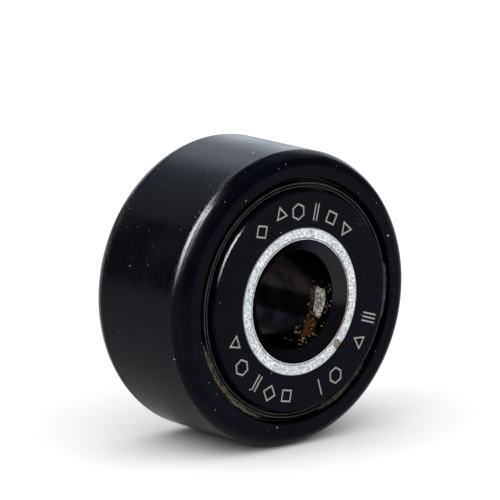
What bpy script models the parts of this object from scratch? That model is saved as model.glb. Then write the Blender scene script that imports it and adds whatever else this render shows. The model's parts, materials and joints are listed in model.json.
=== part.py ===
"""Yoke-type cam follower: a thick outer ring that rolls on caged needle rollers around an inner ring.

Metres, +Z up. The rolling axis is Y and passes through the origin, which is the centre of the roller.
The front face looks towards -Y. Run with: blender --background --python part.py
"""

import math

import bmesh
import bpy
from mathutils import Matrix

MM = 0.001

# Driving dimensions of the roller
OUTER_RADIUS = 15.0 * MM
OUTER_HALF_WIDTH = 7.0 * MM
INNER_HALF_WIDTH = 7.5 * MM
BORE_RADIUS = 5.0 * MM
INNER_RACE_RADIUS = 7.5 * MM
OUTER_RACE_RADIUS = 10.0 * MM
NEEDLE_COUNT = 16
NEEDLE_LENGTH = 8.4 * MM
NEEDLE_END_CHAMFER = 0.2 * MM

# Clearances
RUNNING_GAP = 0.03 * MM
PRESS_GAP = 0.03 * MM
END_GAP = 0.05 * MM
POCKET_GAP = 0.06 * MM

# Outer ring: rounded shoulders, and a counterbore at each end for the seal and the end plate
SHOULDER_FACE_RADIUS = 13.5 * MM
SHOULDER_AXIAL = 1.6 * MM
SHOULDER_TURN = math.radians(70)
SHOULDER_STEPS = 5
COUNTERBORE_RADIUS = 12.45 * MM
COUNTERBORE_FLOOR = 5.2 * MM
COUNTERBORE_CHAMFER = 0.12 * MM
RACE_CHAMFER = 0.2 * MM

# Inner ring: lead-in cones at both ends of the bore, and one radial lubrication hole
BORE_CONE_RADIUS = 6.25 * MM
BORE_CONE_DEPTH = 0.9 * MM
INNER_EDGE_CHAMFER = 0.1 * MM
LUBE_HOLE_RADIUS = 1.0 * MM
LUBE_HOLE_SEGMENTS = 20

# End plates, pressed on the inner ring's outside
PLATE_RADIUS = 11.2 * MM
PLATE_THICKNESS = 1.65 * MM
PLATE_CHAMFER = 0.16 * MM

# Seals: a thrust disc behind each end plate, with a ridge round the plate and a lip to the outer ring
SEAL_DISC_THICKNESS = 0.55 * MM
SEAL_INNER_RADIUS = 7.7 * MM
SEAL_RIDGE_INSIDE = 11.4 * MM
SEAL_RIDGE_OUTSIDE = 11.75 * MM
SEAL_RIDGE_TOP = 6.75 * MM
SEAL_LIP_RADIUS = COUNTERBORE_RADIUS - 0.07 * MM
SEAL_LIP_TOP = 6.1 * MM
SEAL_LIP_THICKNESS = 0.16 * MM
SEAL_LIP_ROOT = 0.3 * MM

# Needle cage: one ring with a pocket for each needle
CAGE_INNER_RADIUS = 8.05 * MM
CAGE_OUTER_RADIUS = 9.55 * MM
CAGE_HALF_WIDTH = 5.0 * MM
CAGE_CHAMFER = 0.15 * MM

# Facets
RING_SEGMENTS = 72
NEEDLE_SEGMENTS = 16
FULL_TURN = 2 * math.pi
SMOOTH_ANGLE = math.radians(30)

# Values that follow from those above
PITCH_RADIUS = (INNER_RACE_RADIUS + OUTER_RACE_RADIUS) / 2
NEEDLE_RADIUS = (OUTER_RACE_RADIUS - INNER_RACE_RADIUS) / 2 - RUNNING_GAP
PLATE_INNER_FACE = INNER_HALF_WIDTH - PLATE_THICKNESS
SEAL_OUTER_FACE = PLATE_INNER_FACE - END_GAP
SEAL_INNER_FACE = SEAL_OUTER_FACE - SEAL_DISC_THICKNESS

FRONT, REAR = -1, 1
AXIS = (0.0, 1.0, 0.0)
ALONG_Y = Matrix.Rotation(math.pi / 2, 4, "X")


def clear_scene():
    for obj in list(bpy.data.objects):
        bpy.data.objects.remove(obj, do_unlink=True)


def make_material(name, colour, metallic, roughness):
    material = bpy.data.materials.new(name)
    material.use_nodes = True
    shader = material.node_tree.nodes["Principled BSDF"]
    shader.inputs["Base Color"].default_value = (*colour, 1.0)
    shader.inputs["Metallic"].default_value = metallic
    shader.inputs["Roughness"].default_value = roughness
    material.diffuse_color = (*colour, 1.0)
    return material


def mesh_from(bm, name):
    """Closes the bmesh off as a named mesh, with outward normals, smooth where it is round."""
    bmesh.ops.recalc_face_normals(bm, faces=bm.faces)
    mesh = bpy.data.meshes.new(name)
    bm.to_mesh(mesh)
    bm.free()
    mesh.shade_smooth()
    mesh.set_sharp_from_angle(angle=SMOOTH_ANGLE)
    return mesh


def add_object(name, mesh, material=None):
    obj = bpy.data.objects.new(name, mesh)
    bpy.context.scene.collection.objects.link(obj)
    if material is not None:
        mesh.materials.clear()
        mesh.materials.append(material)
    return obj


def turned_mesh(name, section):
    """A ring turned about the Y axis from a closed section of (radius, y) points."""
    bm = bmesh.new()
    points = [bm.verts.new((radius, y, 0.0)) for radius, y in section]
    edges = [bm.edges.new((a, b)) for a, b in zip(points, points[1:] + points[:1])]
    bmesh.ops.spin(
        bm,
        geom=points + edges,
        cent=(0.0, 0.0, 0.0),
        axis=AXIS,
        angle=FULL_TURN,
        steps=RING_SEGMENTS,
        use_merge=True,
    )
    return mesh_from(bm, name)


def both_ends(half_section):
    """A whole section from its points on the +Y side, mirrored to the -Y side in reverse order."""
    return half_section + [(radius, -y) for radius, y in reversed(half_section)]


def at_end(section, end):
    """The section as it stands at one end of the roller: FRONT is mirrored to -Y."""
    return [(radius, end * y) for radius, y in section]


def cut(obj, cutter, name):
    """Subtracts a hidden cutter from obj."""
    cutter.hide_render = True
    cutter.display_type = "WIRE"
    modifier = obj.modifiers.new(name, "BOOLEAN")
    modifier.operation = "DIFFERENCE"
    modifier.solver = "EXACT"
    modifier.object = cutter


def shoulder_curve():
    """The outer ring's rounded shoulder, from the tread to the end face.

    It is a quarter of an ellipse, cut short at the tread, where it leaves a crisp edge.
    """
    radial = (OUTER_RADIUS - SHOULDER_FACE_RADIUS) / math.sin(SHOULDER_TURN)
    axial = SHOULDER_AXIAL / (1 - math.cos(SHOULDER_TURN))
    curve = []
    for step in range(SHOULDER_STEPS + 1):
        turn = SHOULDER_TURN * (1 - step / SHOULDER_STEPS)
        radius = SHOULDER_FACE_RADIUS + radial * math.sin(turn)
        y = OUTER_HALF_WIDTH - axial * (1 - math.cos(turn))
        curve.append((radius, y))
    return curve


def build_outer_ring(material):
    half = shoulder_curve() + [
        (COUNTERBORE_RADIUS + COUNTERBORE_CHAMFER, OUTER_HALF_WIDTH),
        (COUNTERBORE_RADIUS, OUTER_HALF_WIDTH - COUNTERBORE_CHAMFER),
        (COUNTERBORE_RADIUS, COUNTERBORE_FLOOR),
        (OUTER_RACE_RADIUS + RACE_CHAMFER, COUNTERBORE_FLOOR),
        (OUTER_RACE_RADIUS, COUNTERBORE_FLOOR - RACE_CHAMFER),
    ]
    return add_object("outer_ring", turned_mesh("outer_ring", both_ends(half)), material)


def lube_hole_cutter():
    """A radial drill through the inner ring's wall, at mid-width on the +Z side, away from the load."""
    bm = bmesh.new()
    bmesh.ops.create_cone(
        bm,
        cap_ends=True,
        segments=LUBE_HOLE_SEGMENTS,
        radius1=LUBE_HOLE_RADIUS,
        radius2=LUBE_HOLE_RADIUS,
        depth=INNER_RACE_RADIUS,
    )
    cutter = add_object("lube_hole_cutter", mesh_from(bm, "lube_hole_cutter"))
    cutter.location.z = (BORE_RADIUS + INNER_RACE_RADIUS) / 2
    return cutter


def build_inner_ring(material):
    half = [
        (INNER_RACE_RADIUS, INNER_HALF_WIDTH - INNER_EDGE_CHAMFER),
        (INNER_RACE_RADIUS - INNER_EDGE_CHAMFER, INNER_HALF_WIDTH),
        (BORE_CONE_RADIUS, INNER_HALF_WIDTH),
        (BORE_RADIUS, INNER_HALF_WIDTH - BORE_CONE_DEPTH),
    ]
    ring = add_object("inner_ring", turned_mesh("inner_ring", both_ends(half)), material)
    cut(ring, lube_hole_cutter(), "lubrication_hole")
    return ring


def build_end_plate(name, end, material):
    bore = INNER_RACE_RADIUS + PRESS_GAP
    section = [
        (bore, PLATE_INNER_FACE),
        (PLATE_RADIUS, PLATE_INNER_FACE),
        (PLATE_RADIUS, INNER_HALF_WIDTH - PLATE_CHAMFER),
        (PLATE_RADIUS - PLATE_CHAMFER, INNER_HALF_WIDTH),
        (bore, INNER_HALF_WIDTH),
    ]
    return add_object(name, turned_mesh(name, at_end(section, end)), material)


def build_seal(name, end, material):
    section = [
        (SEAL_INNER_RADIUS, SEAL_INNER_FACE),
        (SEAL_LIP_RADIUS - SEAL_LIP_ROOT, SEAL_INNER_FACE),
        (SEAL_LIP_RADIUS, SEAL_INNER_FACE + SEAL_LIP_ROOT),
        (SEAL_LIP_RADIUS, SEAL_LIP_TOP),
        (SEAL_LIP_RADIUS - SEAL_LIP_THICKNESS, SEAL_LIP_TOP),
        (SEAL_LIP_RADIUS - SEAL_LIP_ROOT, SEAL_OUTER_FACE),
        (SEAL_RIDGE_OUTSIDE, SEAL_OUTER_FACE),
        (SEAL_RIDGE_OUTSIDE, SEAL_RIDGE_TOP),
        (SEAL_RIDGE_INSIDE, SEAL_RIDGE_TOP),
        (SEAL_RIDGE_INSIDE, SEAL_OUTER_FACE),
        (SEAL_INNER_RADIUS, SEAL_OUTER_FACE),
    ]
    return add_object(name, turned_mesh(name, at_end(section, end)), material)


def needle_angle(index):
    return FULL_TURN * index / NEEDLE_COUNT


def pocket_cutters():
    """Blocks that cut one pocket for each needle through the cage's wall."""
    bm = bmesh.new()
    width = 2 * (NEEDLE_RADIUS + POCKET_GAP)
    length = NEEDLE_LENGTH + 4 * END_GAP
    depth = 2 * (CAGE_OUTER_RADIUS - CAGE_INNER_RADIUS)
    for index in range(NEEDLE_COUNT):
        turn = Matrix.Rotation(-needle_angle(index), 4, "Y")
        out = Matrix.Translation((PITCH_RADIUS, 0.0, 0.0))
        size = Matrix.Diagonal((depth, length, width, 1.0))
        bmesh.ops.create_cube(bm, size=1.0, matrix=turn @ out @ size)
    return add_object("cage_pocket_cutter", mesh_from(bm, "cage_pocket_cutter"))


def build_cage(material):
    half = [
        (CAGE_OUTER_RADIUS, CAGE_HALF_WIDTH - CAGE_CHAMFER),
        (CAGE_OUTER_RADIUS - CAGE_CHAMFER, CAGE_HALF_WIDTH),
        (CAGE_INNER_RADIUS + CAGE_CHAMFER, CAGE_HALF_WIDTH),
        (CAGE_INNER_RADIUS, CAGE_HALF_WIDTH - CAGE_CHAMFER),
    ]
    cage = add_object("needle_cage", turned_mesh("needle_cage", both_ends(half)), material)
    cut(cage, pocket_cutters(), "needle_pockets")
    return cage


def needle_mesh(material):
    """One needle roller along Y, with its ends chamfered."""
    bm = bmesh.new()
    bmesh.ops.create_cone(
        bm,
        cap_ends=True,
        segments=NEEDLE_SEGMENTS,
        radius1=NEEDLE_RADIUS,
        radius2=NEEDLE_RADIUS,
        depth=NEEDLE_LENGTH,
        matrix=ALONG_Y,
    )
    rims = [edge for edge in bm.edges if abs(edge.verts[0].co.y - edge.verts[1].co.y) < END_GAP]
    bmesh.ops.bevel(bm, geom=rims, offset=NEEDLE_END_CHAMFER, segments=1, affect="EDGES")
    mesh = mesh_from(bm, "needle_roller")
    mesh.materials.append(material)
    return mesh


def build_needles(cage, material):
    """The needle rollers share one mesh, and each stands on its own axis in its pocket of the cage."""
    mesh = needle_mesh(material)
    for index in range(NEEDLE_COUNT):
        angle = needle_angle(index)
        needle = add_object(f"needle_roller_{index + 1:02d}", mesh)
        needle.location = (PITCH_RADIUS * math.cos(angle), 0.0, PITCH_RADIUS * math.sin(angle))
        needle.rotation_euler.y = -angle
        needle.parent = cage


def main():
    clear_scene()
    black_oxide = make_material("black_oxide_steel", (0.012, 0.013, 0.017), 0.6, 0.35)
    ground_steel = make_material("ground_bearing_steel", (0.62, 0.64, 0.66), 1.0, 0.3)
    needle_steel = make_material("polished_needle_steel", (0.72, 0.73, 0.74), 1.0, 0.12)
    cage_steel = make_material("cage_steel", (0.42, 0.42, 0.43), 1.0, 0.4)
    seal_polymer = make_material("black_seal_polymer", (0.015, 0.015, 0.016), 0.0, 0.45)

    build_outer_ring(black_oxide)
    build_inner_ring(ground_steel)
    build_end_plate("front_end_plate", FRONT, black_oxide)
    build_end_plate("rear_end_plate", REAR, black_oxide)
    build_seal("front_seal", FRONT, seal_polymer)
    build_seal("rear_seal", REAR, seal_polymer)
    cage = build_cage(cage_steel)
    build_needles(cage, needle_steel)


main()
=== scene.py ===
"""The looks of a yoke-type track roller: finely turned rings, engraved marks, grease, and worn black oxide.

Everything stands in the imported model's frame: metres, the rolling axis along Y, the marked face towards -Y.
"""

import json
import math
import random

import bmesh
import bpy
from mathutils import Matrix, Vector, noise


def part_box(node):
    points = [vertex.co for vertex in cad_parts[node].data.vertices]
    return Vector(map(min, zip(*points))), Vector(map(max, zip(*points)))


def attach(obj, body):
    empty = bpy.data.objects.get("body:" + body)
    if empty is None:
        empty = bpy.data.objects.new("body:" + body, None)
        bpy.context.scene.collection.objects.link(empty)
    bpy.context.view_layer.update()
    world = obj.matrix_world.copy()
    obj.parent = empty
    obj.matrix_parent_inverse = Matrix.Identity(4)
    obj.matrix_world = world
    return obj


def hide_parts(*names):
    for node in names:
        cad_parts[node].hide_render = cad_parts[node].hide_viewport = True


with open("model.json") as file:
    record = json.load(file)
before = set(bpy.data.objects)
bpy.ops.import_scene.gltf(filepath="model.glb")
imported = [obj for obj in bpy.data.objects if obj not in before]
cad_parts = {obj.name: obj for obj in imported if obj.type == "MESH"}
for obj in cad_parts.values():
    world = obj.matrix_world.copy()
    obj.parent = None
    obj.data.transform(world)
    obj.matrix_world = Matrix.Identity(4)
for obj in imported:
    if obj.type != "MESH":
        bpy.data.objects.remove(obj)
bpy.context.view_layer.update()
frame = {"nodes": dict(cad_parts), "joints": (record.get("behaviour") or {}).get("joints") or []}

MM = 0.001
FULL_TURN = 2 * math.pi
FRONT, REAR = -1, 1
CORE_BODY, OUTER_BODY, CAGE_BODY = "inner_ring_core", "outer_ring", "needle_cage"

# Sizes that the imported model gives
OUTER_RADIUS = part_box("outer_ring")[1].x
OUTER_HALF_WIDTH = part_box("outer_ring")[1].y
INNER_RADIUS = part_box("inner_ring")[1].x
INNER_HALF_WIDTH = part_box("inner_ring")[1].y
PLATE_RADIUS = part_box("rear_end_plate")[1].x
PLATE_INNER_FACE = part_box("rear_end_plate")[0].y
SEAL_LIP_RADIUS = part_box("rear_seal")[1].x
SEAL_INNER_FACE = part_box("rear_seal")[0].y
CAGE_OUTER_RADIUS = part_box("needle_cage")[1].x
CAGE_HALF_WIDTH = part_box("needle_cage")[1].y
NEEDLES = sorted(name for name in frame["nodes"] if name.startswith("needle_roller_"))
NEEDLE_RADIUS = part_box(NEEDLES[0])[1].z
NEEDLE_HALF_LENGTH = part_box(NEEDLES[0])[1].y
JOINT_PLACES = {joint["child"]: Vector(joint["pos_m"]) for joint in frame["joints"]}

# Inner ring
BORE_RADIUS = 5.0 * MM
BORE_CONE_RADIUS = 6.25 * MM
BORE_CONE_DEPTH = 0.9 * MM
LUBE_HOLE_RADIUS = 1.0 * MM
RIM_MARGIN = 0.02 * MM

# Nick in the inner ring's front rim: its place in degrees round the face, and its sizes
NICK_PLACE = -46
NICK_RADIUS = 7.25 * MM
NICK_HALF_LENGTH = 0.75 * MM
NICK_WIDTH = 0.9 * MM
NICK_DEPTH = 0.12 * MM

# Outer ring
OUTER_RACE_RADIUS = 10.0 * MM
SHOULDER_FACE_RADIUS = 13.5 * MM
SHOULDER_AXIAL = 1.6 * MM
SHOULDER_TURN = math.radians(70)
COUNTERBORE_RADIUS = 12.45 * MM
COUNTERBORE_FLOOR = 5.2 * MM

# End plates
PLATE_BORE_RADIUS = INNER_RADIUS + 0.03 * MM
PLATE_FACET_WIDTH = 0.36 * MM
PLATE_FACET_FALL = 0.14 * MM

# Seals: a bevelled lip with a small step, then two ridges with a groove between them
SEAL_BORE_RADIUS = 7.7 * MM
SEAL_OUTER_FACE = PLATE_INNER_FACE - 0.05 * MM
SEAL_BEVEL = 0.3 * MM
SEAL_STEP_PLACE = 6.1 * MM
SEAL_STEP_DEPTH = 0.16 * MM
OUTER_RIDGE_RADII = (11.88 * MM, 11.75 * MM)
INNER_RIDGE_RADII = (11.54 * MM, 11.43 * MM)
OUTER_RIDGE_TOP = 6.80 * MM
INNER_RIDGE_TOP = 6.76 * MM
RIDGE_FLANK = 0.04 * MM
GROOVE_FLOOR = 6.40 * MM

# Cage and needles; a needle is turned as rings are, so a core as fine as a hair runs through it
CAGE_INNER_RADIUS = 8.05 * MM
POCKET_SIDE_GAP = 0.06 * MM
POCKET_END_GAP = 0.1 * MM
NEEDLE_CROWN = 0.25 * MM
NEEDLE_CORE_RADIUS = 0.02 * MM

# Engraved marks: plain shapes and bars round the front plate, in place of lettering
MARK_SIZE = 0.9 * MM
STROKE = 0.17 * MM
MARK_DEPTH = 0.05 * MM
BAR_SPACING = 2.4 * STROKE
# A mark is its place in degrees, its radius in millimetres, its frame's sides, and the frame's turn in
# degrees. A mark with no sides is that many bars instead.
MARKS = [
    (122.8, 9.24, 4, 0),
    (105.2, 9.5, 3, 0),
    (91.7, 9.16, 6, 0),
    (76.7, 9.07, 0, 2),
    (62.9, 8.95, 4, 45),
    (47.6, 8.9, 3, 180),
    (199.5, 8.95, 3, 0),
    (216, 9.42, 6, 0),
    (232.7, 9.34, 0, 2),
    (245, 9.6, 4, 0),
    (259, 9.5, 4, 45),
    (286, 9.5, 0, 1),
    (299.7, 9.5, 6, 30),
    (326.4, 9.43, 3, 180),
    (342, 9.6, 0, 3),
]

# Grease: how finely it is made, and how far a smear's root lies inside the wall
BEAD_SIDES = 12
BEAD_STEP = 0.1 * MM
SMEAR_COLUMNS, SMEAR_ROWS = 48, 36
SMEAR_ROOT = 0.25 * MM

# Drops of oil in the bore: angles in degrees, and depths and radii in millimetres
DROP_COUNT = 90
DROP_SEED = 11
DROP_ANGLES = (-75, 12)
DROP_DEPTHS = (0.9, 4.2)
DROP_RADIUS = 0.04
DROP_RADIUS_SPREAD = 0.12

# How finely the pieces are made; a guard is how near its end a straight run gets an extra point
RING_SEGMENTS = 256
NEEDLE_SEGMENTS = 48
HOLE_SEGMENTS = 48
SHOULDER_STEPS = 20
BAR_END_STEPS = 8
ARC_STEP = math.radians(12)
GUARD = 0.05 * MM
LONGEST_RUN = 1.5 * MM
SHARP_ANGLE = math.radians(32)

# Camera
CAMERA_AZIMUTH = math.radians(-40.5)
CAMERA_ELEVATION = math.radians(12.2)
CAMERA_DISTANCE = 0.492
CAMERA_LENS = 352.8
CAMERA_SENSOR = 36.0
CAMERA_NEAR, CAMERA_FAR = 0.01, 20.0
CAMERA_RIGHT = -0.13 * MM
CAMERA_UP = 3.93 * MM

# Lights, backdrop and floor
COOL_LIGHT = (0.82, 0.90, 1.0)
WARM_LIGHT = (1.0, 0.91, 0.80)
SUN_STRENGTH = 3.8
SUN_SPREAD = math.radians(120)
SUN_TILT = (math.radians(18), math.radians(-10), 0.0)
# A softbox is its name, its azimuth and elevation in degrees, its distance, width and height in metres, its
# radiance, and its colour.
SOFTBOXES = [
    ("left_strip", -101, 42, 0.40, 0.085, 0.31, 440.0, WARM_LIGHT),
    ("back_panel", 138, 22, 0.8, 0.82, 0.58, 1.85, COOL_LIGHT),
    ("top_panel", 178, 47, 0.8, 0.8, 0.42, 1.1, COOL_LIGHT),
    ("right_panel", 96, 50, 0.8, 0.5, 0.4, 0.8, COOL_LIGHT),
]
BACKDROP_COLOUR = (0.92, 0.92, 0.92)
AMBIENT_COLOUR = (0.12, 0.13, 0.15)
FLOOR_SIZE = 2.0
FLOOR_CELLS = 8
FLOOR_GAP = 0.01 * MM


# ---------------------------------------------------------------- materials


class Surface:
    """A Principled material, with short calls for the nodes that feed it. Positions are in millimetres."""

    def __init__(self, name, constants):
        self.material = bpy.data.materials.new(name)
        self.material.use_nodes = True
        self.tree = self.material.node_tree
        self.shader = self.tree.nodes["Principled BSDF"]
        for label, value in constants.items():
            self.feed(label, value)
        coordinates = self.node("TexCoord").outputs["Object"]
        self.place = self.node("Mapping", {"Vector": coordinates, "Scale": (1 / MM,) * 3}).outputs[0]
        split = self.node("SeparateXYZ", {"Vector": self.place})
        self.sideways = split.outputs["X"]
        self.along = split.outputs["Y"]
        self.upwards = split.outputs["Z"]
        flat = self.node("CombineXYZ", {"X": self.sideways, "Z": self.upwards})
        self.radius = self.node("VectorMath", {0: flat.outputs[0]}, operation="LENGTH").outputs["Value"]

    def put(self, value, socket):
        """Links a value to a socket, or sets the socket to it when it is a constant."""
        if isinstance(value, bpy.types.NodeSocket):
            self.tree.links.new(value, socket)
        elif socket.type == "RGBA":
            socket.default_value = (*value, 1)
        else:
            socket.default_value = value

    def feed(self, label, value):
        """Gives the shader's own input a value or a constant."""
        self.put(value, self.shader.inputs[label])

    def node(self, kind, inputs=None, **settings):
        """A new node with its inputs and settings."""
        made = self.tree.nodes.new("ShaderNode" + kind)
        for key, value in settings.items():
            setattr(made, key, value)
        for key, value in (inputs or {}).items():
            self.put(value, made.inputs[key])
        return made

    def maths(self, operation, first, *others):
        """An operation on one number, or on several in turn."""
        result = first
        for other in others or (0.0,):
            result = self.node("Math", {0: result, 1: other}, operation=operation).outputs[0]
        return result

    def times(self, *values):
        """The product of several numbers."""
        return self.maths("MULTIPLY", *values)

    def plus(self, *values):
        """The sum of several numbers."""
        return self.maths("ADD", *values)

    def largest(self, *values):
        """The largest of several numbers."""
        return self.maths("MAXIMUM", *values)

    def unsigned(self, value):
        """A number without its sign."""
        return self.maths("ABSOLUTE", value)

    def between(self, value, low, high, to_low=0.0, to_high=1.0):
        """value's way from low to high, as a number from to_low to to_high, clamped."""
        inputs = {"Value": value, "From Min": low, "From Max": high, "To Min": to_low, "To Max": to_high}
        return self.node("MapRange", inputs).outputs[0]

    def blend(self, share, a, b):
        """Colour a where share is 0, and b where it is 1."""
        inputs = {"Factor": share, "A": a, "B": b}
        made = self.node("Mix", data_type="RGBA")
        for socket in made.inputs:
            if socket.enabled and socket.name in inputs:
                self.put(inputs[socket.name], socket)
        return next(socket for socket in made.outputs if socket.enabled)

    def layered(self, base, *coats):
        """A base colour under (share, colour) coats, one over the other."""
        for share, colour in coats:
            base = self.blend(share, base, colour)
        return base

    def grain(self, scale, at=None, detail=3.0, roughness=0.5, distortion=0.0):
        """Noise with that many features in a millimetre."""
        inputs = {"Vector": at or self.place, "Scale": scale, "Detail": detail}
        inputs.update({"Roughness": roughness, "Distortion": distortion})
        return self.node("TexNoise", inputs).outputs[0]

    def turning_marks(self, scale, drift=0.12):
        """Fine grooves that run round the axis, on faces and on cylinders alike."""
        across = self.node("CombineXYZ", {"X": self.radius, "Y": self.along}).outputs[0]
        across = self.node("VectorMath", {0: across, 3: scale}, operation="SCALE").outputs[0]
        slow = self.node("VectorMath", {0: self.place, 3: drift}, operation="SCALE").outputs[0]
        at = self.node("VectorMath", {0: across, 1: slow}, operation="ADD").outputs[0]
        return self.grain(1.0, at, detail=2.0)

    def scratches(self, turn, fineness=16.0, length=0.35, low=0.72):
        """Hairlines along one direction, where a stretched noise peaks."""
        inputs = {"Vector": self.place, "Rotation": turn, "Scale": (length, fineness, fineness)}
        at = self.node("Mapping", inputs).outputs[0]
        return self.between(self.grain(1.0, at, detail=1.0), low, low + 0.04)

    def specks(self, scale, size, share):
        """Round specks scattered over the surface, as a number from 0 to 1."""
        cells = self.node("TexVoronoi", {"Vector": self.place, "Scale": scale})
        near = self.between(cells.outputs["Distance"], size, size * 0.6)
        chosen = self.node("SeparateColor", {"Color": cells.outputs["Color"]}).outputs[0]
        return self.times(near, self.maths("LESS_THAN", chosen, share))

    def relief(self, *layers):
        """Bumps the surface by (height, depth in millimetres) layers, one over the other."""
        normal = None
        for height, depth in layers:
            inputs = {"Height": height, "Distance": depth * MM}
            if normal:
                inputs["Normal"] = normal
            normal = self.node("Bump", inputs).outputs[0]
        self.feed("Normal", normal)


def hairlines(surface):
    """Hairlines in three directions, in scattered patches."""
    lines = surface.largest(
        surface.scratches((0.4, 0.9, 0.2)),
        surface.scratches((1.9, 0.3, 1.2)),
        surface.scratches((0.8, 2.3, 2.6)),
    )
    return surface.times(lines, surface.between(surface.grain(0.22, detail=1.0), 0.56, 0.68))


def worn_edge_and_highlight(surface):
    """The tread's two ends as a number: 1 in the upper-left patch where the left strip's highlight falls, low
    round the rest, and 0 elsewhere. The lighter colour it brings is edge wear, and painted highlight where it
    is 1.
    """
    tread_end = (OUTER_HALF_WIDTH - SHOULDER_AXIAL) / MM
    tread_radius = OUTER_RADIUS / MM
    from_end = surface.unsigned(surface.maths("SUBTRACT", surface.unsigned(surface.along), tread_end))
    # Full strength at the upper left, where the left strip's streak falls: there the scuffs are a painted
    # highlight.
    highlight_patch = surface.times(
        surface.between(surface.sideways, -6.0, -8.5),
        surface.between(surface.upwards, 1.5, 4.0),
    )
    return surface.times(
        surface.between(from_end, 0.55, 0.0),
        surface.between(surface.radius, tread_radius - 0.4, tread_radius - 0.1),
        surface.between(highlight_patch, 0.0, 1.0, 0.18, 1.0),
    )


def black_oxide(name, marks_scale, marks_depth, dust_share):
    """Blued black steel: a dark satin film with turning marks, hairlines, scuffed edges, pits and dust; the
    scuffs are lighter still in a painted highlight at the upper left.
    """
    deep, thin, marked = (0.0005, 0.0007, 0.0020), (0.0015, 0.0018, 0.0040), (0.0036, 0.0042, 0.0070)
    # The middle colour of the next line is lighter worn metal for the scuffs, and a painted highlight in the
    # upper-left patch.
    scratched, bared_highlight, dusty = (0.07, 0.072, 0.08), (0.15, 0.157, 0.17), (0.62, 0.63, 0.62)
    surface = Surface(name, {"Specular IOR Level": 0.048, "Specular Tint": (0.73, 0.83, 1.0)})
    marks = surface.turning_marks(marks_scale)
    lines = hairlines(surface)
    edge_wear_and_highlight = worn_edge_and_highlight(surface)
    grit = surface.grain(3.4, detail=5.0, roughness=0.85)
    # Scuffs: edge wear round the tread's ends, and a painted highlight where the left strip's streak falls at
    # the upper left.
    scuffs_and_highlight = surface.times(edge_wear_and_highlight, surface.between(grit, 0.55, 0.66))
    pits = surface.specks(1.7, 0.14, 0.14)
    dust = surface.largest(
        surface.specks(0.75, 0.075, dust_share),
        surface.specks(2.1, 0.09, dust_share * 0.35),
    )

    cloud = surface.grain(0.35, detail=5.0, roughness=0.6)
    colour = surface.layered(
        surface.blend(surface.between(cloud, 0.35, 0.7), deep, thin),
        (surface.between(marks, 0.45, 0.75, 0.0, 0.5), marked),
        (surface.times(lines, 0.5), scratched),
        (surface.times(scuffs_and_highlight, 0.6), bared_highlight),
        (dust, dusty),
    )
    surface.feed("Base Color", colour)
    roughness = surface.plus(
        surface.between(surface.grain(0.16, detail=3.0), 0.35, 0.7, 0.14, 0.24),
        surface.between(surface.grain(7.0, detail=2.0), 0.3, 0.7, -0.03, 0.05),
        surface.times(dust, 0.4),
        surface.times(scuffs_and_highlight, 0.12),
        surface.times(pits, 0.5),
    )
    surface.feed("Roughness", roughness)
    surface.relief(
        (surface.grain(5.0, detail=3.0), 0.0024),
        (marks, marks_depth),
        (lines, -0.002),
        (surface.times(surface.plus(grit, marks), edge_wear_and_highlight), 0.038),
        (pits, -0.014),
        (dust, 0.012),
    )
    return surface.material


def ground_steel():
    """The inner ring's ground end face: bright, mottled and scored, with painted shade along its rims and an
    oil stain.
    """
    cool, white, grey = (0.75, 0.79, 0.82), (0.99, 0.99, 0.98), (0.31, 0.35, 0.39)
    # The middle colour of the next line is painted shade, laid along the face's rims.
    scored, painted_light, oiled = (0.24, 0.27, 0.31), (0.085, 0.085, 0.07), (0.22, 0.14, 0.08)
    cone_rim, outer_rim = BORE_CONE_RADIUS / MM, INNER_RADIUS / MM
    surface = Surface("ground_steel", {"Metallic": 0.7})
    mottle = surface.grain(3.2, detail=6.0, roughness=0.75, distortion=0.6)
    fine = surface.grain(10.0, detail=3.0, roughness=0.7)
    broad = surface.grain(0.9, detail=3.0, roughness=0.6, distortion=1.0)
    patchy = surface.plus(surface.times(mottle, 0.65), surface.times(fine, 0.35))
    scores = surface.largest(
        surface.scratches((0.2, 0.7, 0.1), fineness=5.0, length=1.2, low=0.66),
        surface.scratches((0.2, 2.3, 0.1), fineness=11.0, length=0.8, low=0.70),
    )
    ragged = surface.plus(surface.radius, surface.between(mottle, 0.3, 0.7, -0.06, 0.06))
    # Painted shade: a dark line just outside the cone's rim, and another along the face's outer edge.
    inner_shade_line = surface.times(
        surface.between(ragged, cone_rim + 0.25, cone_rim + 0.19),
        surface.between(ragged, cone_rim + 0.09, cone_rim + 0.15),
    )
    rim_shade = surface.largest(inner_shade_line, surface.between(ragged, outer_rim - 0.14, outer_rim - 0.06))
    stain = surface.times(
        surface.between(surface.sideways, 2.5, 6.0),
        surface.between(ragged, cone_rim + 0.37, cone_rim + 0.15),
        surface.grain(1.4, detail=4.0),
    )

    tint = surface.blend(surface.between(broad, 0.40, 0.62), cool, white)
    colour = surface.layered(
        surface.blend(surface.between(patchy, 0.43, 0.54), grey, tint),
        (surface.times(scores, 0.45), scored),
        (surface.times(rim_shade, 0.85), painted_light),
        (surface.between(stain, 0.30, 0.46, 0.0, 0.75), oiled),
    )
    surface.feed("Base Color", colour)
    surface.feed("Roughness", surface.between(patchy, 0.4, 0.6, 0.55, 0.32))
    surface.relief((mottle, 0.012), (fine, 0.006), (scores, -0.008), (rim_shade, -0.02))
    return surface.material


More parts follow.
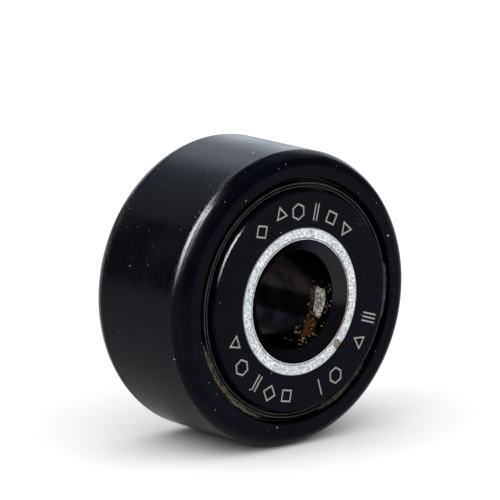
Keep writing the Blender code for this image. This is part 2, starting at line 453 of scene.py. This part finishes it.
def oiled_bore():
    """The bore and its lead-in cones: oxide under a film of oil, dark even at a glancing view."""
    deep, thin = (0.006, 0.006, 0.009), (0.014, 0.014, 0.018)
    cone, oil = (0.018, 0.018, 0.024), (0.040, 0.022, 0.009)
    wall_radius = BORE_RADIUS / MM
    surface = Surface("oiled_bore", {"Metallic": 0.9, "Specular Tint": (0.14, 0.15, 0.19)})
    cloud = surface.grain(0.5, detail=4.0)
    oily = surface.times(surface.between(surface.sideways, 1.0, 4.5), surface.between(cloud, 0.4, 0.55))
    colour = surface.layered(
        surface.blend(surface.between(cloud, 0.4, 0.65), deep, thin),
        (surface.between(surface.radius, wall_radius + 0.02, wall_radius + 0.12), cone),
        (surface.times(oily, 0.22), oil),
    )
    surface.feed("Base Color", colour)
    surface.feed("Roughness", surface.between(surface.grain(0.8, detail=3.0), 0.3, 0.7, 0.13, 0.24))
    surface.relief((surface.turning_marks(9.0), 0.004), (surface.grain(3.0, detail=3.0), 0.006))
    return surface.material


def etched_steel():
    """Bare warm-grey metal at the bottom of the engraved marks."""
    surface = Surface("etched_steel", {"Metallic": 0.25})
    grain = surface.grain(14.0, detail=3.0)
    surface.feed("Base Color", surface.blend(grain, (0.24, 0.225, 0.21), (0.52, 0.49, 0.46)))
    surface.feed("Roughness", surface.between(grain, 0.3, 0.7, 0.5, 0.75))
    surface.relief((grain, 0.012))
    return surface.material


def stained_steel():
    """Torn and oil-stained metal in the nick."""
    stained, torn = (0.07, 0.05, 0.03), (0.42, 0.37, 0.29)
    surface = Surface("stained_steel", {"Metallic": 0.6})
    grain = surface.grain(5.0, detail=5.0, roughness=0.7)
    surface.feed("Base Color", surface.blend(surface.between(grain, 0.4, 0.6), stained, torn))
    surface.feed("Roughness", surface.between(grain, 0.3, 0.7, 0.3, 0.6))
    surface.relief((grain, 0.03))
    return surface.material


def seal_polymer():
    """Moulded black polymer with a faint bloom, painted lighter grey along the tops of its ridges as
    highlight lines.
    """
    # The last colour of the next line is a painted highlight for the ridge tops.
    black, bloomed, ridge_highlight = (0.0020, 0.0022, 0.0026), (0.0060, 0.0063, 0.0068), (0.045, 0.047, 0.050)
    ridge_top = OUTER_RIDGE_TOP / MM
    surface = Surface("seal_polymer", {"Specular IOR Level": 0.14, "Specular Tint": (0.84, 0.92, 1.0)})
    cloud = surface.grain(0.8, detail=4.0)
    # Painted highlight: the tops of the ridges are made lighter grey all round, for the thin highlight lines
    # along them.
    painted_light = surface.times(
        surface.between(surface.unsigned(surface.along), ridge_top - 0.12, ridge_top - 0.04),
        surface.between(surface.grain(1.5, detail=4.0), 0.3, 0.6, 0.4, 1.0),
    )
    colour = surface.layered(
        surface.blend(surface.between(cloud, 0.45, 0.7), black, bloomed),
        (painted_light, ridge_highlight),
    )
    surface.feed("Base Color", colour)
    surface.feed("Roughness", surface.between(cloud, 0.3, 0.7, 0.24, 0.36))
    surface.relief((surface.grain(4.0, detail=2.0), 0.0012), (cloud, 0.004))
    return surface.material


def grease_film(name, thin, thick, lumps=1.7, scatter=0.35, wet=0.4, gloss=0.5):
    """Grease or oil: its thin colour, its whipped or caked colour, and how many lumps a millimetre holds."""
    constants = {
        "Subsurface Weight": scatter,
        "Subsurface Scale": 0.25 * MM,
        "Subsurface Radius": (1.0, 0.6, 0.25),
        "Coat Weight": wet,
        "Coat Roughness": 0.08,
        "Specular IOR Level": gloss,
    }
    surface = Surface(name, constants)
    cloud = surface.grain(lumps, detail=5.0, roughness=0.65)
    surface.feed("Base Color", surface.blend(surface.between(cloud, 0.40, 0.60), thin, thick))
    surface.feed("Roughness", surface.between(cloud, 0.3, 0.7, 0.18, 0.42))
    surface.relief((cloud, 0.03), (surface.grain(8.0, detail=3.0), 0.008))
    return surface.material


def bearing_steel(name, bright, rough):
    """Bright inner steel, with wear bands round it and a fine lapped grain."""
    dull = tuple(0.62 * part for part in bright)
    surface = Surface(name, {"Metallic": 1.0})
    marks = surface.turning_marks(5.0)
    cloud = surface.grain(2.0, detail=3.0)
    surface.feed("Base Color", surface.blend(surface.between(marks, 0.35, 0.65), dull, bright))
    surface.feed("Roughness", surface.between(cloud, 0.3, 0.7, rough * 0.7, rough * 1.4))
    surface.relief((marks, 0.002), (surface.grain(15.0, detail=2.0), 0.001))
    return surface.material


def studio_paper():
    """Pale matt paper with a barely visible tooth."""
    surface = Surface("studio_paper", {"Specular IOR Level": 0.1})
    tooth = surface.grain(0.3, detail=4.0)
    surface.feed("Base Color", surface.blend(tooth, (0.86, 0.86, 0.86), (0.89, 0.89, 0.89)))
    surface.feed("Roughness", surface.between(tooth, 0.3, 0.7, 0.85, 0.95))
    return surface.material


# ---------------------------------------------------------------- shapes


def add_object(name, data):
    """A new object in the scene."""
    obj = bpy.data.objects.new(name, data)
    bpy.context.scene.collection.objects.link(obj)
    return obj


def smooth(mesh):
    """Shades the mesh smooth, apart from its sharp edges."""
    mesh.shade_smooth()
    mesh.set_sharp_from_angle(angle=SHARP_ANGLE)


def finish_mesh(bm, name, materials):
    """The bmesh as an object, with outward faces, and smooth where it is round."""
    bmesh.ops.recalc_face_normals(bm, faces=bm.faces)
    mesh = bpy.data.meshes.new(name)
    bm.to_mesh(mesh)
    bm.free()
    for material in materials:
        mesh.materials.append(material)
    smooth(mesh)
    return add_object(name, mesh)


def dress(piece, body, slot, *nodes):
    """Ties a piece to its body and hides the solids that it stands for; its slot is not used."""
    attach(piece, body)
    if nodes:
        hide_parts(*nodes)
    return piece


def fillet_points(before, corner, after, radius):
    """The points of the arc that rounds a corner between two straight runs."""
    towards_before = (before - corner).normalized()
    towards_after = (after - corner).normalized()
    opening = towards_before.angle(towards_after)
    turn = math.pi - opening
    reach = radius / math.tan(opening / 2)
    middle = corner + (towards_before + towards_after).normalized() * (radius / math.sin(opening / 2))
    spoke = corner + towards_before * reach - middle
    side = corner + towards_after * reach - middle
    first = math.atan2(spoke.y, spoke.x)
    sweep = (math.atan2(side.y, side.x) - first + math.pi) % FULL_TURN - math.pi
    steps = max(2, math.ceil(turn / ARC_STEP))
    angles = [first + sweep * step / steps for step in range(steps + 1)]
    return [middle + radius * Vector((math.cos(angle), math.sin(angle))) for angle in angles]


def run_points(start, end):
    """Points inside a straight run: one near each end, to keep its shading flat, and others evenly."""
    length = (end - start).length
    if length < 3 * GUARD:
        return []
    way = (end - start).normalized()
    first, last = start + way * GUARD, end - way * GUARD
    pieces = max(1, math.ceil((last - first).length / LONGEST_RUN))
    return [first.lerp(last, piece / pieces) for piece in range(pieces + 1)]


def rounded_section(corners):
    """A closed section from (radius, y, fillet) corners, as dense (radius, y) points."""
    places = [Vector((radius, y)) for radius, y, _ in corners]
    arcs = []
    for index, (_, _, fillet) in enumerate(corners):
        before, corner, after = places[index - 1], places[index], places[(index + 1) % len(places)]
        arcs.append(fillet_points(before, corner, after, fillet) if fillet else [corner])
    points = []
    for arc, following in zip(arcs, arcs[1:] + arcs[:1]):
        points += arc + run_points(arc[-1], following[0])
    return points


def revolved(section, segments):
    """The corners and the faces of a closed section turned once round Y."""
    count = len(section)
    verts, faces = [], []
    for segment in range(segments):
        turn = FULL_TURN * segment / segments
        verts += [(point.x * math.cos(turn), point.y, point.x * math.sin(turn)) for point in section]
        here, there = segment * count, (segment + 1) % segments * count
        for index in range(count):
            other = (index + 1) % count
            faces.append((here + index, here + other, there + other, there + index))
    return verts, faces


def turned(name, corners, materials, pick=None, segments=RING_SEGMENTS):
    """A ring turned about Y from a section's rounded corners; pick(radius) gives a face's material."""
    section = rounded_section(corners)
    double_area = sum(a.x * b.y - b.x * a.y for a, b in zip(section, section[1:] + section[:1]))
    if double_area < 0:
        section.reverse()
    mesh = bpy.data.meshes.new(name)
    verts, faces = revolved(section, segments)
    mesh.from_pydata(verts, [], faces)
    for material in materials:
        mesh.materials.append(material)
    if pick:
        ends = zip(section, section[1:] + section[:1])
        picked = [pick((start.x + end.x) / 2) for start, end in ends]
        mesh.polygons.foreach_set("material_index", picked * segments)
    smooth(mesh)
    return add_object(name, mesh)


def both_ends(half):
    """A whole section from its corners on the +Y side."""
    return half + [(radius, -y, fillet) for radius, y, fillet in reversed(half)]


def at_end(section, end):
    """A section drawn for the rear end, at whichever end is asked for."""
    return [(radius, end * y, fillet) for radius, y, fillet in section]


def round_the_face(degrees, radius):
    """The place at that angle from +X towards +Z and at that radius, turned so that its Z points outwards."""
    return Matrix.Rotation(-math.radians(degrees - 90), 4, "Y") @ Matrix.Translation((0.0, 0.0, radius))


def cut(obj, cutter):
    """Takes the cutter's shape away from obj for good; the cut faces keep the cutter's material."""
    modifier = obj.modifiers.new("cut", "BOOLEAN")
    modifier.operation = "DIFFERENCE"
    modifier.solver = "EXACT"
    modifier.material_mode = "TRANSFER"
    modifier.object = cutter
    evaluated = obj.evaluated_get(bpy.context.evaluated_depsgraph_get())
    mesh = bpy.data.meshes.new_from_object(evaluated)
    obj.modifiers.clear()
    obj.data = mesh
    smooth(mesh)
    bpy.data.objects.remove(cutter, do_unlink=True)


def prism(bm, outline, hole, place, low, high):
    """Adds an upright prism along Y to bm, with an optional hole of as many points as its outline."""

    def ring(points, y):
        """One outline's vertices at that height."""
        return [bm.verts.new(place @ Vector((x, y, z))) for x, z in points]

    outer_low, outer_high = ring(outline, low), ring(outline, high)
    count = len(outline)
    if hole:
        inner_low, inner_high = ring(hole, low), ring(hole, high)
    else:
        bm.faces.new(outer_low)
        bm.faces.new(outer_high)
    for index in range(count):
        other = (index + 1) % count
        bm.faces.new((outer_low[index], outer_low[other], outer_high[other], outer_high[index]))
        if hole:
            bm.faces.new((inner_low[index], inner_low[other], inner_high[other], inner_high[index]))
            bm.faces.new((outer_low[index], outer_low[other], inner_low[other], inner_low[index]))
            bm.faces.new((outer_high[index], outer_high[other], inner_high[other], inner_high[index]))


def bar_outline(middle, half_length, width):
    """A bar along the radius, with round ends."""
    outline = []
    for end in (1, -1):
        for step in range(BAR_END_STEPS + 1):
            angle = math.pi * step / BAR_END_STEPS + (0 if end > 0 else math.pi)
            x = middle + width / 2 * math.cos(angle)
            z = end * (half_length - width / 2) + width / 2 * math.sin(angle)
            outline.append((x, z))
    return outline


def frame_outline(sides, turn):
    """A regular frame's outer and inner outlines, a stroke's width apart."""
    inner = MARK_SIZE - STROKE / math.cos(math.pi / sides)
    angles = [math.radians(90 + turn) + FULL_TURN * side / sides for side in range(sides)]
    return [[(size * math.cos(a), size * math.sin(a)) for a in angles] for size in (MARK_SIZE, inner)]


# ---------------------------------------------------------------- rings, plates and seals


def make_outer_ring(tread, race):
    """The tyre: a cylindrical tread with round shoulders, and a counterbore at each end of its raceway."""
    radial = (OUTER_RADIUS - SHOULDER_FACE_RADIUS) / math.sin(SHOULDER_TURN)
    axial = SHOULDER_AXIAL / (1 - math.cos(SHOULDER_TURN))
    half = []
    for step in range(SHOULDER_STEPS + 1):
        turn = SHOULDER_TURN * (1 - step / SHOULDER_STEPS)
        radius = SHOULDER_FACE_RADIUS + radial * math.sin(turn)
        half.append((radius, OUTER_HALF_WIDTH - axial * (1 - math.cos(turn)), 0.0))
    half += [
        (COUNTERBORE_RADIUS, OUTER_HALF_WIDTH, 0.12 * MM),
        (COUNTERBORE_RADIUS, COUNTERBORE_FLOOR, 0.15 * MM),
        (OUTER_RACE_RADIUS, COUNTERBORE_FLOOR, 0.2 * MM),
    ]

    def pick(radius):
        """The race's steel inside the counterbores' walls, and the tread's black outside."""
        return 1 if radius < COUNTERBORE_RADIUS - GUARD else 0

    ring = turned("outer_ring_fine", both_ends(half), [tread, race], pick)
    return dress(ring, OUTER_BODY, "black_oxide_steel", "outer_ring")


def hole_cutter(material):
    """A round cutter for the lubrication hole, at +Z in the middle of the inner ring's width.

    It is turned by half a segment, so that no corner of it meets one of the ring's own.
    """
    bm = bmesh.new()
    middle = Matrix.Translation((0.0, 0.0, (BORE_RADIUS + INNER_RADIUS) / 2))
    bmesh.ops.create_cone(
        bm,
        cap_ends=True,
        segments=HOLE_SEGMENTS,
        radius1=LUBE_HOLE_RADIUS,
        radius2=LUBE_HOLE_RADIUS,
        depth=INNER_RADIUS,
        matrix=middle @ Matrix.Rotation(math.pi / HOLE_SEGMENTS, 4, "Z"),
    )
    return finish_mesh(bm, "hole_cutter", [material])


def nick_cutter(material):
    """A shallow radial nick across the front end face, which breaks out of the ring's outer edge."""
    bm = bmesh.new()
    place = round_the_face(NICK_PLACE, NICK_RADIUS)
    outline = bar_outline(0.0, NICK_HALF_LENGTH, NICK_WIDTH)
    prism(bm, outline, None, place, -INNER_HALF_WIDTH - NICK_DEPTH, -INNER_HALF_WIDTH + NICK_DEPTH)
    return finish_mesh(bm, "nick_cutter", [material])


def make_inner_ring(steel, bore, stained):
    """The inner ring with its coned bore, its lubrication hole and the nick in its front rim."""
    half = [
        (INNER_RADIUS, INNER_HALF_WIDTH, 0.10 * MM),
        (BORE_CONE_RADIUS, INNER_HALF_WIDTH, 0.05 * MM),
        (BORE_RADIUS, INNER_HALF_WIDTH - BORE_CONE_DEPTH, 0.25 * MM),
    ]

    def pick(radius):
        """The bore's finish inside the cones' rims, and ground steel outside."""
        return 1 if radius < BORE_CONE_RADIUS + RIM_MARGIN else 0

    ring = turned("inner_ring_fine", both_ends(half), [steel, bore], pick)
    cut(ring, hole_cutter(bore))
    cut(ring, nick_cutter(stained))
    return dress(ring, CORE_BODY, "ground_bearing_steel", "inner_ring")


def marks_cutter(material):
    """All the marks' prisms, standing across the plate's outer face."""
    bm = bmesh.new()
    low, high = -INNER_HALF_WIDTH - MARK_DEPTH, -INNER_HALF_WIDTH + MARK_DEPTH
    for degrees, radius, sides, extra in MARKS:
        place = round_the_face(degrees, radius * MM)
        if sides:
            outer, inner = frame_outline(sides, extra)
            prism(bm, outer, inner, place, low, high)
        else:
            for bar in range(extra):
                middle = (bar - (extra - 1) / 2) * BAR_SPACING
                prism(bm, bar_outline(middle, MARK_SIZE, STROKE), None, place, low, high)
    return finish_mesh(bm, "marks_cutter", [material])


def make_end_plate(name, end, material):
    """A washer pressed on the inner ring, with a narrow facet round its outer edge."""
    section = [
        (PLATE_BORE_RADIUS, PLATE_INNER_FACE, 0.05 * MM),
        (PLATE_RADIUS, PLATE_INNER_FACE, 0.05 * MM),
        (PLATE_RADIUS, INNER_HALF_WIDTH - PLATE_FACET_WIDTH, 0.2 * MM),
        (PLATE_RADIUS - PLATE_FACET_FALL, INNER_HALF_WIDTH, 0.08 * MM),
        (PLATE_BORE_RADIUS, INNER_HALF_WIDTH, 0.05 * MM),
    ]
    plate = turned(name + "_fine", at_end(section, end), [material])
    return dress(plate, CORE_BODY, "black_oxide_steel", name)


def make_seal(name, end, material):
    """A seal ring with a bevelled lip, and two ridges round its outer face."""
    outer_ridge_out, outer_ridge_in = OUTER_RIDGE_RADII
    inner_ridge_out, inner_ridge_in = INNER_RIDGE_RADII
    section = [
        (SEAL_BORE_RADIUS, SEAL_INNER_FACE, 0.05 * MM),
        (SEAL_LIP_RADIUS - SEAL_BEVEL, SEAL_INNER_FACE, 0.1 * MM),
        (SEAL_LIP_RADIUS, SEAL_INNER_FACE + SEAL_BEVEL, 0.1 * MM),
        (SEAL_LIP_RADIUS, SEAL_STEP_PLACE, 0.04 * MM),
        (SEAL_LIP_RADIUS - SEAL_STEP_DEPTH, SEAL_STEP_PLACE, 0.04 * MM),
        (SEAL_LIP_RADIUS - SEAL_BEVEL, SEAL_OUTER_FACE, 0.06 * MM),
        (outer_ridge_out + RIDGE_FLANK, SEAL_OUTER_FACE, 0.04 * MM),
        (outer_ridge_out, OUTER_RIDGE_TOP, 0.06 * MM),
        (outer_ridge_in, OUTER_RIDGE_TOP, 0.06 * MM),
        (outer_ridge_in - RIDGE_FLANK, GROOVE_FLOOR, 0.03 * MM),
        (inner_ridge_out + RIDGE_FLANK, GROOVE_FLOOR, 0.03 * MM),
        (inner_ridge_out, INNER_RIDGE_TOP, 0.05 * MM),
        (inner_ridge_in, INNER_RIDGE_TOP, 0.05 * MM),
        (inner_ridge_in - RIDGE_FLANK, SEAL_OUTER_FACE, 0.04 * MM),
        (SEAL_BORE_RADIUS, SEAL_OUTER_FACE, 0.05 * MM),
    ]
    seal = turned(name + "_fine", at_end(section, end), [material])
    return dress(seal, OUTER_BODY, "black_seal_polymer", name)


# ---------------------------------------------------------------- cage and needles


def pocket_cutter(material):
    """A box for each needle's pocket, square to the needle."""
    bm = bmesh.new()
    depth = CAGE_OUTER_RADIUS - CAGE_INNER_RADIUS
    half_length = NEEDLE_HALF_LENGTH + POCKET_END_GAP
    half_width = NEEDLE_RADIUS + POCKET_SIDE_GAP
    box = Matrix.Diagonal((2 * depth, 2 * half_length, 2 * half_width, 1.0))
    for needle in NEEDLES:
        middle = JOINT_PLACES[needle]
        turn = Matrix.Rotation(-math.atan2(middle.z, middle.x), 4, "Y")
        bmesh.ops.create_cube(bm, size=1.0, matrix=Matrix.Translation(middle) @ turn @ box)
    return finish_mesh(bm, "pocket_cutter", [material])


def make_cage(material):
    """A plain drum with a pocket through it for each needle."""
    half = [
        (CAGE_OUTER_RADIUS, CAGE_HALF_WIDTH, 0.15 * MM),
        (CAGE_INNER_RADIUS, CAGE_HALF_WIDTH, 0.15 * MM),
    ]
    cage = turned("needle_cage_fine", both_ends(half), [material])
    cut(cage, pocket_cutter(material))
    return dress(cage, CAGE_BODY, "cage_steel", "needle_cage")


def make_needles(material):
    """One crowned needle mesh, shared by a piece on each needle's body."""
    section = [
        (NEEDLE_RADIUS, NEEDLE_HALF_LENGTH, NEEDLE_CROWN),
        (NEEDLE_RADIUS, -NEEDLE_HALF_LENGTH, NEEDLE_CROWN),
        (NEEDLE_CORE_RADIUS, -NEEDLE_HALF_LENGTH, 0.0),
        (NEEDLE_CORE_RADIUS, NEEDLE_HALF_LENGTH, 0.0),
    ]
    first = turned(NEEDLES[0] + "_fine", section, [material], segments=NEEDLE_SEGMENTS)
    for needle in NEEDLES:
        piece = first if needle == NEEDLES[0] else add_object(needle + "_fine", first.data)
        piece.location = JOINT_PLACES[needle]
        dress(piece, needle, "polished_needle_steel", needle)


# ---------------------------------------------------------------- grease


def bead_ring(step, angle, taper, radius, top, half_width, seed):
    """The points round a bead at one step along it: lumpy, and a little off the bead's line."""
    swell = 1 + 0.55 * noise.noise(Vector((step * 0.085, seed, 0.0)))
    wander = 0.09 * MM * noise.noise(Vector((step * 0.06, seed, 5.0)))
    points = []
    for side in range(BEAD_SIDES):
        turn = FULL_TURN * side / BEAD_SIDES
        lump = 1 + 0.3 * noise.noise(Vector((step * 0.22, side * 0.8, seed)))
        reach = half_width * taper * swell * lump
        out = radius + wander + reach * math.cos(turn)
        y = -(top - half_width + reach * math.sin(turn))
        points.append((out * math.cos(angle), y, out * math.sin(angle)))
    return points


def grease_bead(name, angles, radius, top, half_width, seed, material):
    """A ragged bead of grease in the front seal's gap, between two angles in degrees.

    Its crest stands about top in front of the roller's middle.
    """
    start, end = angles
    steps = round(math.radians(end - start) * radius / BEAD_STEP)
    bm = bmesh.new()
    rings = []
    for step in range(steps + 1):
        share = step / steps
        angle = math.radians(start + (end - start) * share)
        taper = max(0.08, math.sin(math.pi * share) ** 0.4)
        points = bead_ring(step, angle, taper, radius, top, half_width, seed)
        rings.append([bm.verts.new(point) for point in points])
    for ring, following in zip(rings, rings[1:]):
        for side in range(BEAD_SIDES):
            other = (side + 1) % BEAD_SIDES
            bm.faces.new((ring[side], ring[other], following[other], following[side]))
    bm.faces.new(rings[0])
    bm.faces.new(rings[-1])
    bead = finish_mesh(bm, name, [material])
    bead.data.shade_smooth()
    return dress(bead, OUTER_BODY, "black_seal_polymer")


def bore_place(angle, depth, height):
    """A point that stands height above the bore's wall, depth in from the front face."""
    radius = BORE_RADIUS - height
    return Vector((radius * math.cos(angle), depth - INNER_HALF_WIDTH, radius * math.sin(angle)))


def smear_height(u, v, thickness, seed):
    """How far a smear stands above the wall, at its share u of the way round and v of the way in."""
    rim = (math.sin(math.pi * u) * math.sin(math.pi * v)) ** 0.5
    ragged = noise.noise(Vector((u * 5, v * 4, seed)))
    fine = noise.noise(Vector((u * 17, v * 13, seed + 3)))
    return thickness * (rim * (1.05 + 0.7 * ragged + 0.28 * fine) - 0.35)


def rim_loop(layer):
    """The vertices round a grid's edge, in order."""
    right = [line[-1] for line in layer[1:-1]]
    left = [line[0] for line in layer[1:-1]]
    return layer[0] + right + layer[-1][::-1] + left[::-1]


def bore_smear(name, angles, depths, slant, thickness, seed, material):
    """A smear of grease on the bore's wall, thick in the middle and ragged at its rim.

    Its angles are in degrees. It starts between the two depths, and its end lies slant deeper.
    """
    bm = bmesh.new()

    def grid(height_at):
        """A layer of the smear, at the height that height_at(u, v) gives for each of its points."""
        layer = []
        for row in range(SMEAR_ROWS + 1):
            v = row / SMEAR_ROWS
            line = []
            for column in range(SMEAR_COLUMNS + 1):
                u = column / SMEAR_COLUMNS
                angle = math.radians(angles[0] + (angles[1] - angles[0]) * u)
                depth = depths[0] + (depths[1] - depths[0]) * v + slant * u
                line.append(bm.verts.new(bore_place(angle, depth, height_at(u, v))))
            layer.append(line)
        return layer

    root = grid(lambda u, v: -SMEAR_ROOT)
    crest = grid(lambda u, v: smear_height(u, v, thickness, seed))
    for layer in (root, crest):
        for line, following in zip(layer, layer[1:]):
            for column in range(SMEAR_COLUMNS):
                bm.faces.new((line[column], line[column + 1], following[column + 1], following[column]))
    rim_low, rim_high = rim_loop(root), rim_loop(crest)
    count = len(rim_low)
    for index in range(count):
        other = (index + 1) % count
        bm.faces.new((rim_low[index], rim_low[other], rim_high[other], rim_high[index]))
    smear = finish_mesh(bm, name, [material])
    smear.data.shade_smooth()
    return dress(smear, CORE_BODY, "ground_bearing_steel")


def bore_drops(name, material):
    """Small drops of oil spattered over the bore's wall."""
    chance = random.Random(DROP_SEED)
    bm = bmesh.new()
    for _ in range(DROP_COUNT):
        angle = math.radians(chance.uniform(*DROP_ANGLES))
        depth = chance.uniform(*DROP_DEPTHS) * MM
        size = chance.uniform(DROP_RADIUS, DROP_RADIUS + DROP_RADIUS_SPREAD * chance.random()) * MM
        inward = Vector((-math.cos(angle), 0.0, -math.sin(angle)))
        turn = inward.to_track_quat("Z", "Y").to_matrix().to_4x4()
        flat = Matrix.Diagonal((1.0, chance.uniform(0.8, 1.7), 0.6, 1.0))
        place = Matrix.Translation(bore_place(angle, depth, 0.0)) @ turn @ flat
        bmesh.ops.create_icosphere(bm, subdivisions=2, radius=size, matrix=place)
    drops = finish_mesh(bm, name, [material])
    drops.data.shade_smooth()
    return dress(drops, CORE_BODY, "ground_bearing_steel")


def make_grease():
    """Beads of grease in the front seal's gap, and smears and drops of it in the bore; one smear's pale
    colour is painted glare.
    """
    amber = grease_film("amber_grease", thin=(0.10, 0.055, 0.012), thick=(0.30, 0.24, 0.12))
    murk = grease_film("dark_grease", thin=(0.006, 0.006, 0.004), thick=(0.055, 0.050, 0.034), lumps=2.6)
    # Painted highlight: this grease's near-white thick colour stands in for glare on the wet grease in the
    # bore.
    glare_grease = grease_film("grease_with_painted_glare", thin=(0.05, 0.028, 0.010), thick=(0.82, 0.78, 0.70), lumps=3.2)
    khaki = grease_film(
        "khaki_grease",
        thin=(0.006, 0.005, 0.003),
        thick=(0.070, 0.052, 0.020),
        lumps=2.2,
        scatter=0.1,
        wet=0.2,
        gloss=0.25,
    )
    brown = grease_film(
        "brown_oil",
        thin=(0.010, 0.004, 0.001),
        thick=(0.095, 0.035, 0.006),
        lumps=1.8,
        scatter=0.0,
        wet=0.0,
        gloss=0.15,
    )
    grease_bead(
        "seal_grease_left",
        angles=(193, 248),
        radius=12.13 * MM,
        top=6.92 * MM,
        half_width=0.36 * MM,
        seed=2.0,
        material=khaki,
    )
    grease_bead(
        "seal_grease_right",
        angles=(-17, 11),
        radius=12.22 * MM,
        top=6.60 * MM,
        half_width=0.20 * MM,
        seed=5.0,
        material=murk,
    )
    grease_bead(
        "seal_grease_low",
        angles=(-75, -40),
        radius=12.22 * MM,
        top=6.64 * MM,
        half_width=0.20 * MM,
        seed=9.0,
        material=khaki,
    )
    bore_smear(
        "bore_smear_brown",
        angles=(-66, 3),
        depths=(1.3 * MM, 3.1 * MM),
        slant=1.5 * MM,
        thickness=0.05 * MM,
        seed=7.0,
        material=brown,
    )
    # The pale smear: grease whose near-white colour is painted glare.
    bore_smear(
        "bore_smear_painted_glare",
        angles=(-34, 4),
        depths=(1.8 * MM, 3.5 * MM),
        slant=0.0,
        thickness=0.13 * MM,
        seed=13.0,
        material=glare_grease,
    )
    bore_drops("bore_drops", amber)


# ---------------------------------------------------------------- studio


def heading(azimuth, elevation):
    """The direction from the object towards a camera or a light at that azimuth and elevation."""
    level = math.cos(elevation)
    return Vector((math.sin(azimuth) * level, -math.cos(azimuth) * level, math.sin(elevation)))


def make_camera():
    """A long lens that looks at the marked face from its left and a little above."""
    back = heading(CAMERA_AZIMUTH, CAMERA_ELEVATION)
    right = Vector((math.cos(CAMERA_AZIMUTH), math.sin(CAMERA_AZIMUTH), 0.0))
    up = back.cross(right)
    data = bpy.data.cameras.new("camera")
    data.lens = CAMERA_LENS
    data.sensor_width = CAMERA_SENSOR
    data.clip_start = CAMERA_NEAR
    data.clip_end = CAMERA_FAR
    camera = add_object("camera", data)
    camera.rotation_mode = "QUATERNION"
    camera.rotation_quaternion = (-back).to_track_quat("-Z", "Y")
    camera.location = back * CAMERA_DISTANCE + right * CAMERA_RIGHT + up * CAMERA_UP
    bpy.context.scene.camera = camera


def softbox(name, azimuth, elevation, distance, width, height, radiance, colour):
    """A rectangular soft light that faces the object. It shows in reflections only."""
    data = bpy.data.lights.new(name, "AREA")
    data.shape = "RECTANGLE"
    data.size, data.size_y = width, height
    data.energy = radiance * math.pi * width * height
    data.color = colour
    light = add_object(name, data)
    towards = heading(math.radians(azimuth), math.radians(elevation))
    light.location = towards * distance
    light.rotation_mode = "QUATERNION"
    light.rotation_quaternion = towards.to_track_quat("Z", "Y")
    light.visible_camera = False
    light.visible_diffuse = False


def make_lights():
    """A broad overhead sun that lights the matt surfaces, and softboxes for the reflections."""
    data = bpy.data.lights.new("overhead", "SUN")
    data.energy = SUN_STRENGTH
    data.angle = SUN_SPREAD
    sun = add_object("overhead", data)
    sun.rotation_euler = SUN_TILT
    sun.visible_glossy = False
    for settings in SOFTBOXES:
        softbox(*settings)


def make_world():
    """A pale backdrop to the camera, and a dim even light to everything else."""
    world = bpy.data.worlds.new("studio")
    world.use_nodes = True
    tree = world.node_tree
    tree.nodes.clear()
    seen = tree.nodes.new("ShaderNodeBackground")
    seen.inputs["Color"].default_value = (*BACKDROP_COLOUR, 1)
    felt = tree.nodes.new("ShaderNodeBackground")
    felt.inputs["Color"].default_value = (*AMBIENT_COLOUR, 1)
    mix = tree.nodes.new("ShaderNodeMixShader")
    path = tree.nodes.new("ShaderNodeLightPath")
    output = tree.nodes.new("ShaderNodeOutputWorld")
    tree.links.new(path.outputs["Is Camera Ray"], mix.inputs[0])
    tree.links.new(felt.outputs[0], mix.inputs[1])
    tree.links.new(seen.outputs[0], mix.inputs[2])
    tree.links.new(mix.outputs[0], output.inputs["Surface"])
    bpy.context.scene.world = world


def make_floor():
    """A wide sheet of paper just under the roller."""
    bm = bmesh.new()
    under = Matrix.Translation((0, 0, -OUTER_RADIUS - FLOOR_GAP))
    bmesh.ops.create_grid(bm, x_segments=FLOOR_CELLS, y_segments=FLOOR_CELLS, size=FLOOR_SIZE, matrix=under)
    finish_mesh(bm, "floor", [studio_paper()])


def make_studio():
    """The camera, the lights, the backdrop and the floor, with plain colours."""
    bpy.context.scene.view_settings.view_transform = "Standard"
    make_camera()
    make_lights()
    make_world()
    make_floor()


def make_roller():
    """Every solid's finely made piece, in its own material."""
    race_steel = bearing_steel("race_steel", (0.55, 0.55, 0.56), 0.22)
    cage_steel = bearing_steel("cage_sheet_steel", (0.36, 0.35, 0.34), 0.35)
    needle_steel = bearing_steel("needle_steel", (0.70, 0.71, 0.73), 0.12)
    ring_black = black_oxide("ring_black_oxide", marks_scale=5.0, marks_depth=0.0015, dust_share=0.2)
    plate_black = black_oxide("plate_black_oxide", marks_scale=7.0, marks_depth=0.0025, dust_share=0.10)
    polymer = seal_polymer()

    make_outer_ring(ring_black, race_steel)
    make_inner_ring(ground_steel(), oiled_bore(), stained_steel())
    front_plate = make_end_plate("front_end_plate", FRONT, plate_black)
    cut(front_plate, marks_cutter(etched_steel()))
    make_end_plate("rear_end_plate", REAR, plate_black)
    make_seal("front_seal", FRONT, polymer)
    make_seal("rear_seal", REAR, polymer)
    make_cage(cage_steel)
    make_needles(needle_steel)


make_studio()
make_roller()
make_grease()
